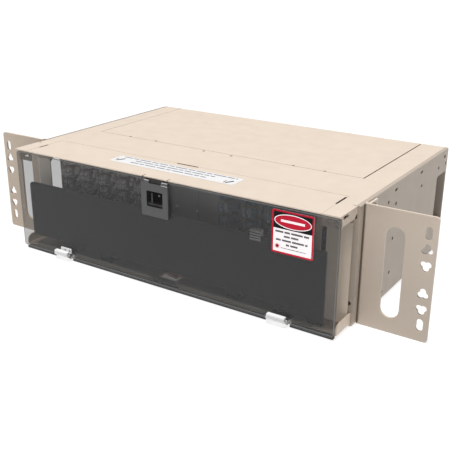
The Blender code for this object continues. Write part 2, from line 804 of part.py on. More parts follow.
def make_rear_cover():
    section = (
        [(REAR_COVER_FRONT, TOP_UNDER), (SKIRT_Y, TOP_UNDER), (SKIRT_Y, SKIRT_BOTTOM)]
        + [(SKIRT_Y + SHEET, SKIRT_BOTTOM)]
        + arc(SKIRT_Y + SHEET - BEND, HEIGHT - BEND, BEND, 0, 90, 4)
        + [(REAR_COVER_FRONT, HEIGHT)]
    )
    sheet = extruded("x", *REAR_COVER_X, section)
    holes = [extruded("y", 290.0, 310.0, circle(x, 20.0, 2.6, 12)) for x in (-176.0, 176.0)]
    for x in COVER_NOTCHES:
        holes.append(extruded("z", 120.0, 135.0, circle(x, REAR_COVER_FRONT + 0.2, 1.9, 10)))
    seat = (0.0, 210.0, TOP_UNDER)
    node("rear_cover", cut(sheet, *holes), "beige_steel", origin=seat, smooth=True)
    profile = [(299.2, 2.2), (300.8, 2.2), (300.8, 6.0), (302.6, 6.0), (303.2, 5.0)]
    for name, x in (("left", -176.0), ("right", 176.0)):
        node("rear_screw_" + name, turned("y", x, 20.0, profile, 16), "steel", origin=seat, smooth=True)


for old in list(bpy.data.objects):
    bpy.data.objects.remove(old)

make_chassis()
make_door()
make_latch()
make_front_cover()
make_rear_cover()
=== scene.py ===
"""Looks for the rack-mount fibre termination shelf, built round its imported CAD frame.

Measures in the calls below are millimetres unless a name or comment says otherwise. Depths are
given behind the door's outer face, heights above the surface that the shelf stands on.
"""

import json
import math

import bmesh
import bpy
from mathutils import Matrix, Vector
from mathutils.geometry import delaunay_2d_cdt

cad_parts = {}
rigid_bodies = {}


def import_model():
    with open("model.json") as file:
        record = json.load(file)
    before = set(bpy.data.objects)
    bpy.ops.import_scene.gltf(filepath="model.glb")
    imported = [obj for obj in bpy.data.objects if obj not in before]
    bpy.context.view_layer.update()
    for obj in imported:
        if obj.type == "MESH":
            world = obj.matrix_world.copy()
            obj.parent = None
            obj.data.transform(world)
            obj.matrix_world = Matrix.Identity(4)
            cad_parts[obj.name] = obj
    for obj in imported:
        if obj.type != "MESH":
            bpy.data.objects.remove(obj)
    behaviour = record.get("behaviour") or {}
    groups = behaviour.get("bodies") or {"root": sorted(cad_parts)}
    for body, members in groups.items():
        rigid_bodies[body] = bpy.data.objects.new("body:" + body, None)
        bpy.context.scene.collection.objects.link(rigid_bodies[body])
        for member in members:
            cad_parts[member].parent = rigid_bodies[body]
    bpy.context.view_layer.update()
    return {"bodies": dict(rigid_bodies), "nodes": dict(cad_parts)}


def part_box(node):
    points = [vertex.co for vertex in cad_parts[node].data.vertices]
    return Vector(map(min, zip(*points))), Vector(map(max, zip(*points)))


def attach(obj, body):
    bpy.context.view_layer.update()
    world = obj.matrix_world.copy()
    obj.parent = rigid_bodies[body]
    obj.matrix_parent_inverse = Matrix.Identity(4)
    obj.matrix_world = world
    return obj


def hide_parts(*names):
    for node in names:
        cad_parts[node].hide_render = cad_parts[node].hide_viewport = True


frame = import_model()
NODES = frame["nodes"]
BODY_OF = {
    node: body for body, empty in frame["bodies"].items() for node in NODES if NODES[node].parent == empty
}

MM = 0.001
DOOR_FACE = 149.0
SIDES = ((-1, "left"), (1, "right"))

CAMERA_AT = (0.4793, -0.7387, 0.3622)
CAMERA_AZIMUTH = 33.53
CAMERA_ELEVATION = 20.76
CAMERA_ROLL = 0.19
LENS_MM = 59.53

SUN_STRENGTH = 3.28
SUN_ANGLE = 9
SUN_TOWARDS = (0.0, 0.07, -1.0)
WORLD_STRENGTH = 0.06
FLOOR_DROP = -0.0002
FLOOR_HALF = 12.0
FLOOR_GREY = 0.35
FLOOR_GLOW = 0.70
SHADE_GLOW = 0.18
SHADE_HEIGHT = -0.0001
SHADE_CORNERS = ((-0.19, -0.137), (0.19, -0.137), (0.19, 0.14), (-0.19, 0.14))
WALL_RADIUS = 11.8
WALL_HEIGHT = 16.0

# bevel widths and ink thicknesses, in metres
SHEET_BEVEL = 0.00035
SMALL_BEVEL = 0.0002
MOULDED_BEVEL = 0.0003
FULL_BEVEL = 1.0
FILM_BEVEL = 0.00004
INK = 0.00003
INK_GAP = 0.00002


# ---------------------------------------------------------------- camera and stage


def link(obj):
    bpy.context.scene.collection.objects.link(obj)
    return obj


def plain_mesh(bm, name):
    mesh = bpy.data.meshes.new(name)
    bm.to_mesh(mesh)
    bm.free()
    return mesh


def make_camera():
    data = bpy.data.cameras.new("camera")
    data.lens = LENS_MM
    data.sensor_width = 36.0
    data.clip_start = 0.01
    data.clip_end = 50.0
    camera = link(bpy.data.objects.new("camera", data))
    azimuth = math.radians(CAMERA_AZIMUTH)
    elevation = math.radians(CAMERA_ELEVATION)
    level = math.cos(elevation)
    back = Vector((math.sin(azimuth) * level, -math.cos(azimuth) * level, math.sin(elevation)))
    turn = (-back).to_track_quat("-Z", "Y").to_matrix().to_4x4()
    roll = Matrix.Rotation(math.radians(CAMERA_ROLL), 4, "Z")
    camera.matrix_world = Matrix.Translation(CAMERA_AT) @ turn @ roll
    bpy.context.scene.camera = camera


def make_sun():
    data = bpy.data.lights.new("overhead", "SUN")
    data.energy = SUN_STRENGTH
    data.angle = math.radians(SUN_ANGLE)
    sun = link(bpy.data.objects.new("overhead", data))
    sun.location = (0.0, 0.0, 2.0)
    sun.rotation_mode = "QUATERNION"
    sun.rotation_quaternion = Vector(SUN_TOWARDS).to_track_quat("-Z", "Y")


def make_stage():
    scene = bpy.context.scene
    scene.view_settings.view_transform = "Standard"
    scene.view_settings.look = "None"
    world = bpy.data.worlds.new("studio")
    world.use_nodes = True
    world.node_tree.nodes["Background"].inputs["Color"].default_value = (1.0, 1.0, 1.0, 1.0)
    world.node_tree.nodes["Background"].inputs["Strength"].default_value = WORLD_STRENGTH
    scene.world = world
    make_sun()
    make_floor()
    make_contact_shade()
    make_backdrop()


def stage_paint(name, grey, glow, roughness=0.9, gloss=0.1):
    paint = Finish(name, (grey, grey, grey), roughness)
    paint.shader.inputs["Specular IOR Level"].default_value = gloss
    return glowing(paint.material, (1.0, 1.0, 1.0), glow)


def make_floor():
    bm = bmesh.new()
    bmesh.ops.create_grid(bm, x_segments=1, y_segments=1, size=FLOOR_HALF)
    mesh = plain_mesh(bm, "floor")
    mesh.materials.append(stage_paint("studio_floor", FLOOR_GREY, FLOOR_GLOW))
    floor = link(bpy.data.objects.new("floor", mesh))
    floor.location = (0.0, 0.0, FLOOR_DROP)
    return floor


def make_contact_shade():
    """The darker floor right under the shelf, which shows through the cut-out in the trough."""
    bm = bmesh.new()
    bm.faces.new([bm.verts.new((x, y, SHADE_HEIGHT)) for x, y in SHADE_CORNERS])
    mesh = plain_mesh(bm, "floor_shade")
    mesh.materials.append(stage_paint("studio_floor_shade", FLOOR_GREY, SHADE_GLOW))
    return link(bpy.data.objects.new("floor_shade", mesh))


def make_backdrop():
    """A white wall all round, far away, that closes low views without adding light."""
    bm = bmesh.new()
    bmesh.ops.create_cone(
        bm, cap_ends=False, segments=96, radius1=WALL_RADIUS, radius2=WALL_RADIUS, depth=WALL_HEIGHT
    )
    mesh = plain_mesh(bm, "backdrop")
    mesh.materials.append(stage_paint("studio_wall", 0.0, 1.0, 1.0, 0.0))
    wall = link(bpy.data.objects.new("backdrop", mesh))
    wall.location = (0.0, 0.0, WALL_HEIGHT / 2 - 0.001)
    for kind in ("diffuse", "glossy", "transmission", "volume_scatter", "shadow"):
        setattr(wall, "visible_" + kind, False)
    return wall


# ---------------------------------------------------------------- materials


class Finish:
    """A Principled material with helpers that add procedural detail in object space."""

    def __init__(self, name, colour, roughness, metallic=0.0):
        self.material = bpy.data.materials.new(name)
        self.material.use_nodes = True
        self.tree = self.material.node_tree
        self.shader = self.tree.nodes["Principled BSDF"]
        self.shader.inputs["Base Color"].default_value = (*colour, 1.0)
        self.shader.inputs["Roughness"].default_value = roughness
        self.shader.inputs["Metallic"].default_value = metallic
        self.normal = None

    def add(self, kind, **settings):
        node = self.tree.nodes.new(kind)
        for key, value in settings.items():
            setattr(node, key, value)
        return node

    def wire(self, source, target):
        self.tree.links.new(source, target)

    def place(self, stretch=(1.0, 1.0, 1.0)):
        coordinates = self.add("ShaderNodeTexCoord")
        mapping = self.add("ShaderNodeMapping")
        mapping.inputs["Scale"].default_value = stretch
        self.wire(coordinates.outputs["Object"], mapping.inputs["Vector"])
        return mapping.outputs["Vector"]

    def noise(self, scale, detail=2.0, rough=0.5, stretch=(1.0, 1.0, 1.0)):
        node = self.add("ShaderNodeTexNoise")
        node.inputs["Scale"].default_value = scale
        node.inputs["Detail"].default_value = detail
        node.inputs["Roughness"].default_value = rough
        self.wire(self.place(stretch), node.inputs["Vector"])
        return node.outputs["Fac"]

    def spread(self, value, low, high, start=0.0, end=1.0):
        node = self.add("ShaderNodeMapRange")
        for key, number in zip(("From Min", "From Max", "To Min", "To Max"), (start, end, low, high)):
            node.inputs[key].default_value = number
        self.wire(value, node.inputs["Value"])
        return node.outputs["Result"]

    def math(self, operation, first, second):
        node = self.add("ShaderNodeMath", operation=operation)
        for socket, value in zip(node.inputs, (first, second)):
            if isinstance(value, float):
                socket.default_value = value
            else:
                self.wire(value, socket)
        return node.outputs["Value"]

    def tint(self, factor, other):
        """Base colour moves from what it is towards the other colour with the factor."""
        node = self.add("ShaderNodeMix", data_type="RGBA")
        target = self.shader.inputs["Base Color"]
        if target.links:
            self.wire(target.links[0].from_socket, node.inputs["A"])
        else:
            node.inputs["A"].default_value = target.default_value
        node.inputs["B"].default_value = (*other, 1.0)
        self.wire(factor, node.inputs["Factor"])
        self.wire(node.outputs["Result"], target)
        return self

    def shine(self, value, low, high):
        self.wire(self.spread(value, low, high, 0.3, 0.7), self.shader.inputs["Roughness"])
        return self

    def bumps(self, height, strength, distance):
        node = self.add("ShaderNodeBump")
        node.inputs["Strength"].default_value = strength
        node.inputs["Distance"].default_value = distance
        self.wire(height, node.inputs["Height"])
        if self.normal:
            self.wire(self.normal, node.inputs["Normal"])
        self.normal = node.outputs["Normal"]
        self.wire(self.normal, self.shader.inputs["Normal"])
        return self


def glowing(material, colour, strength):
    """The same material with a constant light of its own, which no other surface samples."""
    shader = material.node_tree.nodes["Principled BSDF"]
    shader.inputs["Emission Color"].default_value = (*colour, 1.0)
    shader.inputs["Emission Strength"].default_value = strength
    material.cycles.emission_sampling = "NONE"
    return material


def shaded(colour, factor):
    return tuple(min(1.0, channel * factor) for channel in colour)


def powder_coat(name, colour, top=1.0, span=(0.015, 0.115)):
    """Baked powder paint with orange peel and a faint mottle; top scales it from the span's end upwards, a
    painted gradient of light and shade by height.
    """
    finish = Finish(name, colour, 0.5)
    finish.shader.inputs["Specular IOR Level"].default_value = 0.3
    # painted light and shade: the colour is scaled by height across the span, lighter or darker towards the
    # top
    if top != 1.0:
        height = finish.add("ShaderNodeSeparateXYZ")
        finish.wire(finish.place(), height.inputs["Vector"])
        finish.tint(finish.spread(height.outputs["Z"], 0.0, 1.0, *span), shaded(colour, top))
    mottle = finish.spread(finish.noise(9.0, 4.0, 0.6), 0.0, 0.3, 0.35, 0.75)
    finish.tint(mottle, shaded(colour, 0.93))
    speck = finish.spread(finish.noise(2100.0, 1.0, 0.5), 0.0, 0.22, 0.56, 0.74)
    finish.tint(speck, shaded(colour, 0.80))
    rub = finish.spread(finish.noise(90.0, 5.0, 0.65), 0.0, 0.2, 0.62, 0.80)
    finish.tint(rub, shaded(colour, 1.05))
    finish.shine(finish.noise(60.0, 3.0), 0.44, 0.60)
    finish.bumps(finish.noise(520.0, 2.0, 0.55), 0.22, 0.00012)
    finish.bumps(finish.noise(1900.0, 1.0, 0.5), 0.16, 0.00006)
    return finish.material


def moulded(name, colour, roughness, grain=900.0, strength=0.15, gloss=0.5):
    """Injection-moulded plastic with fine spark grain."""
    finish = Finish(name, colour, roughness)
    finish.shader.inputs["Specular IOR Level"].default_value = gloss
    finish.tint(finish.spread(finish.noise(24.0, 4.0), 0.0, 0.6, 0.35, 0.75), shaded(colour, 0.86))
    finish.shine(finish.noise(90.0, 3.0), roughness * 0.85, min(1.0, roughness * 1.2))
    finish.bumps(finish.noise(grain, 2.0), strength, 0.00008)
    return finish.material


def plated(name, colour, roughness):
    """Zinc or nickel plate with drawn lines and slight clouding."""
    finish = Finish(name, colour, roughness, 1.0)
    finish.tint(finish.spread(finish.noise(70.0, 4.0), 0.0, 0.6, 0.4, 0.75), shaded(colour, 0.75))
    finish.shine(finish.noise(900.0, 2.0, 0.5, (0.05, 1.0, 1.0)), roughness * 0.8, roughness * 1.3)
    finish.bumps(finish.noise(1500.0, 2.0, 0.5, (0.04, 1.0, 1.0)), 0.12, 0.00005)
    return finish.material


def smoked(name):
    """Grey transparent sheet: half the light goes straight through, with a faint haze."""
    finish = Finish(name, (0.069, 0.070, 0.070), 0.07)
    finish.shader.inputs["Alpha"].default_value = 0.375
    finish.shader.inputs["IOR"].default_value = 1.49
    finish.shader.inputs["Specular IOR Level"].default_value = 0.5
    finish.tint(finish.spread(finish.noise(11.0, 4.0), 0.0, 0.5, 0.35, 0.75), (0.080, 0.081, 0.082))
    finish.shine(finish.noise(120.0, 4.0, 0.6, (1.0, 1.0, 0.2)), 0.07, 0.16)
    finish.bumps(finish.noise(35.0, 1.0), 0.03, 0.0004)
    return finish.material


def film(name, colour, glow=0.0, gloss=0.3):
    """Printed polyester film with a faint wrinkle; glow is the strength of a light of its own."""
    finish = Finish(name, colour, 0.42)
    finish.shader.inputs["Specular IOR Level"].default_value = gloss
    finish.tint(finish.spread(finish.noise(60.0, 3.0), 0.0, 0.5, 0.4, 0.75), shaded(colour, 0.93))
    finish.bumps(finish.noise(140.0, 2.0), 0.10, 0.0001)
    return glowing(finish.material, colour, glow)


def make_materials():
    """One paint a name; the beiges differ because each face was matched to the picture's uneven light."""
    # painted light and shade: the right guide is a dark copy of the beige, darker still towards the top; the
    # left is a bright copy
    guide_right = powder_coat("beige_right_guide_painted_light", (0.36, 0.305, 0.245), 0.3, (0.075, 0.113))
    guide_left = powder_coat("beige_left_guide_painted_light", (0.95, 0.87, 0.78))
    # painted light: the liner's grey is brightened to stand in for light reaching it behind the smoked door
    liner = moulded("dull_liner", (0.50, 0.485, 0.43), 0.85, 420.0, 0.6, 0.3)
    return {
        "beige": powder_coat("beige_powder_coat", (0.86, 0.735, 0.62)),
        # painted shade and light: walls and rear panel are a darker copy of the beige that lightens towards
        # the top
        "beige_wall": powder_coat("beige_shaded_wall_coat", (0.55, 0.474, 0.401), 1.13),
        # painted light: both guides glow a little to stand in for light that reaches them
        "beige_guide_left": glowing(guide_left, (1.0, 0.90, 0.80), 0.07),
        "beige_guide_right": glowing(guide_right, (1.0, 0.85, 0.70), 0.18),
        # painted shade and light: each ear is its own darker copy of the beige that lightens towards the top
        "beige_ear_left": powder_coat("beige_shaded_left_ear_coat", (0.68, 0.570, 0.462), 1.18),
        "beige_ear_right": powder_coat("beige_shaded_right_ear_coat", (0.70, 0.598, 0.502), 1.25),
        # painted shade: dark for gaps between parts and for the line along the top's left bend
        "seam": moulded("seam_shadow_paint", (0.15, 0.125, 0.10), 0.7),
        # partly painted: the acrylic's edge, its light and dark lines given as an even grey
        "edge": moulded("sheet_edge", (0.23, 0.24, 0.24), 0.3, 300.0, 0.05),
        # painted highlight for the guard's edges
        "edge_highlight": moulded("guard_edge_highlight", (0.16, 0.16, 0.165), 0.3, 300.0, 0.05),
        "shadow_line": moulded("dark_recess", (0.012, 0.011, 0.010), 0.8, 900.0, 0.1, 0.1),
        # painted shade: grey for below the door's bottom edge and in the clip's grooves
        "grey_shade": moulded("grey_shade_strip", (0.115, 0.112, 0.108), 0.5),
        "tongue": moulded("brown_black_tongue", (0.030, 0.024, 0.021), 0.5),
        "blank": moulded("blank_plate", (0.54, 0.54, 0.535), 0.42, 1400.0, 0.1),
        # painted light: the adapters are brightened to stand in for light reaching them behind the smoked
        # door
        "adapter": moulded("adapter_body", (0.95, 0.96, 0.97), 0.45),
        "adapter_blue": moulded("adapter_blue_grey", (0.26, 0.40, 0.54), 0.42),
        # painted highlight on the latch bezel
        "latch_highlight": moulded("latch_highlight_paint", (0.88, 0.85, 0.86), 0.5),
        "rib": moulded("dark_rib", (0.035, 0.035, 0.036), 0.45),
        "pad": moulded("slider_pad", (0.004, 0.004, 0.004), 0.5, 900.0, 0.1, 0.08),
        "smoked": smoked("smoked_sheet"),
        "black_gloss": moulded("black_gloss_sheet", (0.012, 0.012, 0.013), 0.16, 60.0, 0.02, 0.5),
        "black": moulded("black_plastic_grain", (0.014, 0.014, 0.015), 0.45),
        # painted light: the plates are brightened from dark grey to stand in for light behind the smoked
        # door
        "plate": moulded("dark_plate", (0.42, 0.42, 0.425), 0.50, 1400.0, 0.2),
        "bezel": moulded("grey_bezel", (0.115, 0.117, 0.117), 0.42),
        "clip": moulded("off_white_clip", (0.95, 0.95, 0.94), 0.34, 700.0, 0.06),
        # painted light: the red is brightened to stand in for light reaching the block inside
        "red": moulded("dark_red_block", (0.85, 0.07, 0.12), 0.45),
        # painted light: a faint glow of the liner's own
        "liner": glowing(liner, (1.0, 0.97, 0.9), 0.01),
        "steel": plated("bright_plate", (0.78, 0.77, 0.74), 0.28),
        "zinc": plated("dull_zinc", (0.55, 0.55, 0.54), 0.45),
        "white_film": film("white_film", (0.97, 0.96, 0.96)),
        # painted light: the label film and its red ink glow to stand in for light falling on the label
        "label_film": film("bright_label_film", (0.97, 0.92, 0.93), 0.40),
        "red_ink": film("red_ink", (0.72, 0.012, 0.045), 0.10, 0.15),
        "dark_ink": film("dark_ink", (0.012, 0.012, 0.014), 0.0, 0.1),
        "grey_ink": film("grey_ink", (0.20, 0.20, 0.21), 0.0, 0.15),
        "blue_ink": film("blue_grey_ink", (0.24, 0.27, 0.33), 0.0, 0.15),
    }


# ---------------------------------------------------------------- meshes


def mesh_from(bm, name, smooth=35.0):
    """A mesh with outward normals, shaded smooth up to the angle in degrees, or flat for zero."""
    bmesh.ops.recalc_face_normals(bm, faces=bm.faces)
    mesh = plain_mesh(bm, name)
    if smooth:
        mesh.shade_smooth()
        mesh.set_sharp_from_angle(angle=math.radians(smooth))
    return mesh


def piece(name, mesh, body, paint, replaces=()):
    """A visible piece that rides on a body, in the place of the nodes it replaces."""
    obj = link(bpy.data.objects.new(name, mesh))
    mesh.materials.clear()
    mesh.materials.append(PAINT[paint])
    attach(obj, body)
    if replaces:
        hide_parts(*replaces)
    return obj


def weighted(obj):
    modifier = obj.modifiers.new("normals", "WEIGHTED_NORMAL")
    modifier.keep_sharp = True
    modifier.weight = 60


def refined(node, paint, width=SHEET_BEVEL, segments=2):
    """The CAD node's own shape with its sharp edges rounded, in its place."""
    bm = bmesh.new()
    bm.from_mesh(NODES[node].data)
    bmesh.ops.remove_doubles(bm, verts=bm.verts, dist=1e-6)
    bmesh.ops.dissolve_limit(bm, angle_limit=math.radians(0.5), verts=bm.verts, edges=bm.edges)
    sharp = [e for e in bm.edges if len(e.link_faces) == 2 and e.calc_face_angle(0.0) > math.radians(40)]
    bmesh.ops.bevel(
        bm, geom=sharp, offset=width, segments=segments, profile=0.5, affect="EDGES", clamp_overlap=True
    )
    name = node + "_skin"
    weighted(piece(name, mesh_from(bm, name), BODY_OF[node], paint, (node,)))


def loop_solid(bm, outline, place, low, high, holes=()):
    """Adds the solid of an outline in millimetres between two positions in metres on place's axis."""
    outline, *holes = [[(a * MM, b * MM) for a, b in loop] for loop in (outline, *holes)]
    points, edges = [], []
    for loop in (outline, *holes):
        start = len(points)
        points += [Vector(p) for p in loop]
        edges += [(start + i, start + (i + 1) % len(loop)) for i in range(len(loop))]
    flat, _, faces, _, _, _ = delaunay_2d_cdt(points, edges, [], 1, 1e-7)
    near = [bm.verts.new(place(p[0], p[1], low)) for p in flat]
    far = [bm.verts.new(place(p[0], p[1], high)) for p in flat]
    border = {}
    for face in faces:
        middle = sum((flat[i] for i in face), Vector((0.0, 0.0))) / len(face)
        if any(encloses(hole, *middle) for hole in holes):
            continue
        bm.faces.new([near[i] for i in face])
        bm.faces.new([far[i] for i in reversed(face)])
        for i in range(len(face)):
            pair = (face[i], face[(i + 1) % len(face)])
            border[frozenset(pair)] = None if frozenset(pair) in border else pair
    for pair in border.values():
        if pair:
            bm.faces.new([near[pair[1]], near[pair[0]], far[pair[0]], far[pair[1]]])


def encloses(loop, x, y):
    """True if the closed loop of corners goes round the point."""
    inside = False
    for i, (ax, ay) in enumerate(loop):
        bx, by = loop[i - 1]
        if (ay > y) != (by > y) and x < ax + (y - ay) * (bx - ax) / (by - ay):
            inside = not inside
    return inside


def across_x(y, z, along):
    return Vector((along, y, z))


def across_y(x, z, along):
    return Vector((x, along, z))


def across_z(x, y, along):
    return Vector((x, y, along))


def rounded(left, right, low, high, radius, steps=5):
    """The outline of a rectangle with round corners."""
    points = []
    corners = ((right, high, 0), (left, high, 90), (left, low, 180), (right, low, 270))
    for x, y, start in corners:
        cx = x - radius if x == right else x + radius
        cy = y - radius if y == high else y + radius
        for i in range(steps + 1):
            angle = math.radians(start + 90 * i / steps)
            points.append((cx + radius * math.cos(angle), cy + radius * math.sin(angle)))
    return points


def ellipse(x, y, wide, high, sides=40):
    turn = 2 * math.pi / sides
    return [(x + wide * math.cos(turn * i), y + high * math.sin(turn * i)) for i in range(sides)]


# ---------------------------------------------------------------- small shapes


def depth(yf):
    """A distance behind the door's outer face as a model coordinate, both in millimetres."""
    return yf - DOOR_FACE


def add_box(bm, box, width):
    """Adds a bevelled box: left, right, front, back, low and high in millimetres, the bevel in metres."""
    left, right, front, back, low, high = box
    size = ((right - left) * MM, (back - front) * MM, (high - low) * MM)
    centre = ((left + right) / 2 * MM, depth((front + back) / 2) * MM, (low + high) / 2 * MM)
    part = bmesh.new()
    bmesh.ops.create_cube(part, size=1.0)
    bmesh.ops.scale(part, vec=size, verts=part.verts)
    bmesh.ops.translate(part, vec=centre, verts=part.verts)
    offset = min(width, min(size) * 0.3)
    bmesh.ops.bevel(part, geom=list(part.edges), offset=offset, segments=2, profile=0.5, affect="EDGES")
    mesh = plain_mesh(part, "part")
    bm.from_mesh(mesh)
    bpy.data.meshes.remove(mesh)


def strip(name, body, paint, box, width=SMALL_BEVEL):
    bm = bmesh.new()
    add_box(bm, box, width)
    piece(name, mesh_from(bm, name), body, paint)


def dark_strip(name, paint, box, width=SMALL_BEVEL):
    """A strip on the chassis with painted shade in a seam or gap, or a painted highlight along an edge."""
    strip(name, "chassis", paint, box, width)


def disc(bm, centre, axis, radius, thick, sides=20, dome=0.0):
    """Adds a low round head whose face points along the axis."""
    turn = Vector(axis).to_track_quat("Z", "Y").to_matrix().to_4x4()
    loops = []
    for r, h in ((radius, 0.0), (radius, thick * 0.6), (radius * 0.86, thick), (radius * 0.4, thick + dome)):
        angles = [2 * math.pi * i / sides for i in range(sides)]
        points = [Vector((r * math.cos(angle), r * math.sin(angle), h)) for angle in angles]
        loops.append([bm.verts.new(Vector(centre) * MM + turn @ (p * MM)) for p in points])
    for low, high in zip(loops, loops[1:]):
        for i in range(sides):
            j = (i + 1) % sides
            bm.faces.new((low[i], low[j], high[j], high[i]))
    bm.faces.new(list(reversed(loops[0])))
    bm.faces.new(loops[-1])


# ---------------------------------------------------------------- printing


def bars(bm, place, rows, low, high):
    """Plain printed bars given as (left, right, bottom, top)."""
    for left, right, bottom, top in rows:
        loop_solid(bm, [(left, bottom), (right, bottom), (right, top), (left, top)], place, low, high)


def dashes(left, right, bottom, top, lengths, gap):
    """One printed row broken into dashes that follow the given lengths in turn."""
    rows = []
    at = left
    while at < right:
        end = min(right, at + lengths[len(rows) % len(lengths)])
        rows.append((at, end, bottom, top))
        at = end + gap
    return rows


def starburst(x, z, outer, inner, points):
    made = []
    for i in range(points * 2):
        radius = inner if i % 2 else outer
        angle = math.pi * i / points + 0.2
        made.append((x + radius * math.cos(angle), z + radius * math.sin(angle)))
    return made


def print_on_door(name, paint, rows=(), outlines=(), level=0):
    """Ink on the square label, from its lower left corner, each level a little above the last."""
    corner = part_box("hazard_label")[0]
    near = corner.y - INK_GAP - level * INK

    def place(x, z, along):
        return across_y(corner.x + x, corner.z + z, along)

    bm = bmesh.new()
    bars(bm, place, rows, near, near - INK)
    for outline, *holes in outlines:
        loop_solid(bm, outline, place, near, near - INK, holes)
    piece(name, mesh_from(bm, name, 0), BODY_OF["hazard_label"], paint)


def print_on_top(name, paint, rows=(), outlines=()):
    """Ink on the long label, from its left front corner."""
    corner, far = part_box("top_label")
    middle = far.z + INK
    low, high = middle - INK_GAP, middle + INK_GAP

    def place(x, y, along):
        return across_z(corner.x + x, corner.y + y, along)

    bm = bmesh.new()
    bars(bm, place, rows, low, high)
    for outline in outlines:
        loop_solid(bm, outline, place, low, high)
    piece(name, mesh_from(bm, name, 0), "front_cover", paint)


LABEL_BORDER = 1.8
LABEL_MIDDLE = (22.9, 34.3)
BURST_MIDDLE = (6.5, 7.3)


def make_door_label():
    """Generic printing only: a border, bars, an ellipse and a starburst, with no lettering."""
    left, right, _, _, low, high = box_in_millimetres("hazard_label")
    wide, tall = right - left, high - low
    inner = (LABEL_BORDER, wide - LABEL_BORDER, LABEL_BORDER, tall - LABEL_BORDER)
    border = (rounded(0.0, wide, 0.0, tall, 1.5), rounded(*inner, 0.6))
    print_on_door("label_border", "red_ink", outlines=[border])
    print_on_door("label_band", "dark_ink", rows=[(inner[0], inner[1], 25.7, inner[3])])
    print_on_door("label_ring", "label_film", outlines=[(ellipse(*LABEL_MIDDLE, 20.4, 7.5),)], level=1)
    print_on_door("label_ellipse", "red_ink", outlines=[(ellipse(*LABEL_MIDDLE, 19.5, 6.6),)], level=2)
    print_on_door("label_ellipse_bar", "label_film", rows=[(9.9, 35.9, 33.1, 35.5)], level=3)
    lines = dashes(3.9, 40.9, 21.6, 23.6, (9.0, 6.2, 12.5), 1.2)
    lines += dashes(13.5, 30.1, 17.4, 19.3, (6.8, 8.0), 1.2)
    lines += dashes(4.7, 39.5, 13.1, 15.0, (5.6, 10.0, 13.0), 1.2)
    lines += dashes(16.1, 29.1, 8.9, 10.8, (3.6, 8.0), 1.2)
    print_on_door("label_lines", "grey_ink", rows=lines)
    print_on_door("label_rule", "dark_ink", rows=[(10.5, 38.0, 5.8, 6.3)])
    print_on_door("label_burst", "red_ink", outlines=[(starburst(*BURST_MIDDLE, 3.4, 1.5, 9),)])
    dot = ellipse(*BURST_MIDDLE, 0.9, 0.9, 16)
    print_on_door("label_burst_middle", "dark_ink", outlines=[(dot,)], level=1)


def make_top_label():
    """Three rows of bars with a pair of slanted marks at each end, and no lettering."""
    rows = dashes(7.0, 163.0, 19.6, 21.7, (12.0, 7.0, 16.0, 9.0), 1.8)
    rows += dashes(29.0, 138.0, 13.0, 15.1, (9.0, 14.0, 6.0), 1.8)
    rows += dashes(27.0, 131.0, 6.0, 8.1, (11.0, 6.5, 15.0), 1.8)
    print_on_top("top_label_lines", "blue_ink", rows=rows)
    marks = []
    for x, y in ((10.0, 10.5), (160.5, 8.0)):
        marks.append([(x - 3.6, y - 4.4), (x - 1.2, y - 4.9), (x + 3.8, y + 3.6), (x + 1.4, y + 4.6)])
        marks.append([(x - 5.4, y - 4.6), (x - 4.4, y - 4.6), (x - 4.8, y + 2.2), (x - 5.8, y + 2.2)])
    print_on_top("top_label_marks", "dark_ink", outlines=marks)


# ---------------------------------------------------------------- adapters and hardware

ADAPTERS_A_PLATE = 6
FIRST_ADAPTER_Z = 27.0
ADAPTER_PITCH = 15.2
PLATE_MIDDLE_FROM_RIGHT = 14.1
FITTED_PLATE_FRONT = 30.0
BLANK_PLATES = (6, 7, 8)
PLATE_NUMBERS = range(1, 13)
GUARD_SHEET = 2.2


def make_adapters():
    """Rounded dust caps with pull tabs over the plain caps of every fitted plate."""
    for i in PLATE_NUMBERS:
        low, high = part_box(f"adapter_plate_{i:02d}")
        if low.y > depth(FITTED_PLATE_FRONT) * MM:
            continue
        middle = (high.x - PLATE_MIDDLE_FROM_RIGHT * MM) / MM
        caps = bmesh.new()
        frames = bmesh.new()
        for k in range(ADAPTERS_A_PLATE):
            add_adapter(caps, frames, middle, FIRST_ADAPTER_Z + ADAPTER_PITCH * k, k)
        paint = "adapter" if i < BLANK_PLATES[-1] else "adapter_blue"
        piece(f"dust_caps_{i:02d}", mesh_from(caps, "dust_caps"), "chassis", paint)
        piece(f"adapter_frames_{i:02d}", mesh_from(frames, "frames"), "chassis", "plate")


def add_adapter(caps, frames, middle, z, k):
    """One adapter at a height: four caps, their tab, the frame, and clips and a ledge round them."""
    for column in (-1, 1):
        x = middle + 3.6 * column
        for row in (-1, 1):
            up = z + 2.3 * row + 0.5 * column
            front = 22.0 if (k + row + column) % 4 else 23.4
            add_box(caps, (x - 2.7, x + 2.5, front, 28.4, up - 1.8, up + 1.7), 0.0005)
        add_box(frames, (x - 0.7, x + 0.7, 21.2, 24.0, z - 5.4, z + 5.6), 0.0003)
    add_box(frames, (middle - 7.4, middle + 7.4, 33.4, 37.0, z - 5.9, z + 5.9), 0.0004)
    for side in (-1, 1):
        x = middle + side * 10.1
        add_box(caps, (x - 1.7, x + 1.5, 30.0, 37.0, z - 3.9 + side, z + 1.1 + side), 0.0005)
        add_box(caps, (x - 1.3, x + 1.7, 32.0, 37.0, z + 3.6 - side, z + 7.4 - side), 0.0005)
    add_box(caps, (middle - 4.6, middle + 3.6, 31.0, 37.0, z + 6.5, z + 8.3), 0.0004)


